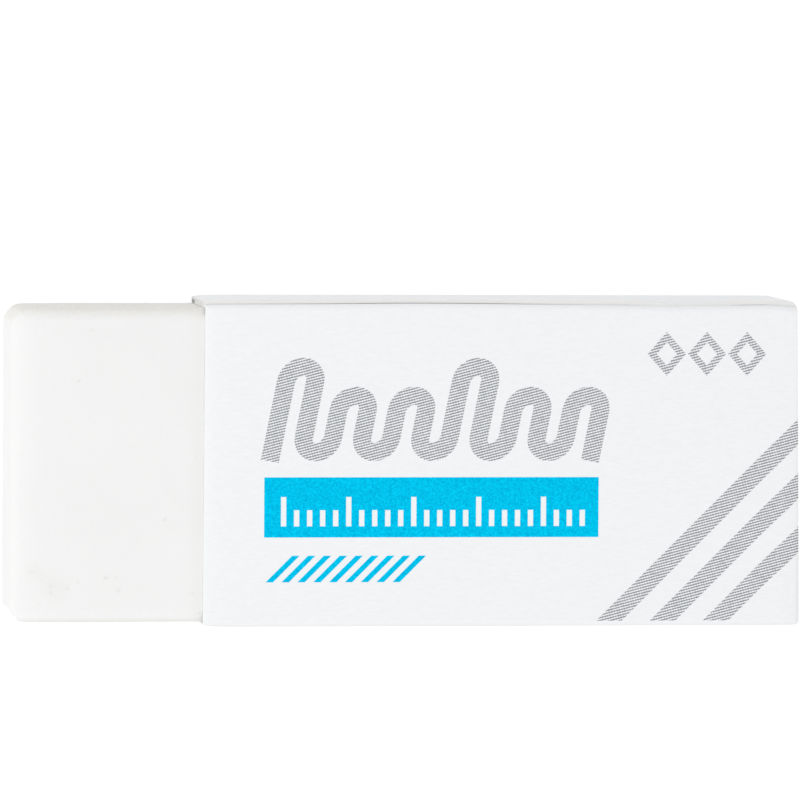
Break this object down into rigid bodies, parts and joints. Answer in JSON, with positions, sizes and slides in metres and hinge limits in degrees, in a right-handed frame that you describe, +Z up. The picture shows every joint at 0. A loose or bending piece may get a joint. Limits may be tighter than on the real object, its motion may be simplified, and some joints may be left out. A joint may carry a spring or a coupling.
{
  "type": "rubber eraser in a card sleeve",
  "caption": "White rubber eraser: a rectangular block with soft edges that slides in a folded card sleeve with a glued lap seam.",
  "frame": {"origin": "on the sleeve's underside, below the middle of the sleeved block's box", "axes": "+X along the block away from its bare end, +Y across the block towards the lap seam, +Z up through the thickness, away from the surface it lies on"},
  "size_m": [0.0604, 0.025, 0.0127],
  "materials": {
    "white_rubber": "soft matt white",
    "coated_card": "smooth coated white card",
    "cyan_print": "solid cyan printing ink on the card",
    "grey_print": "grey halftone printing ink on the card"
  },
  "bodies": {
    "sleeve": {"card_sleeve": "coated_card"},
    "block": {"rubber_block": "white_rubber"}
  },
  "joints": [
    {"name": "block_slide", "type": "slide", "parent": "sleeve", "child": "block", "axis": [-1, 0, 0], "range_m": [-0.0146, 0.0454]}
  ]
}
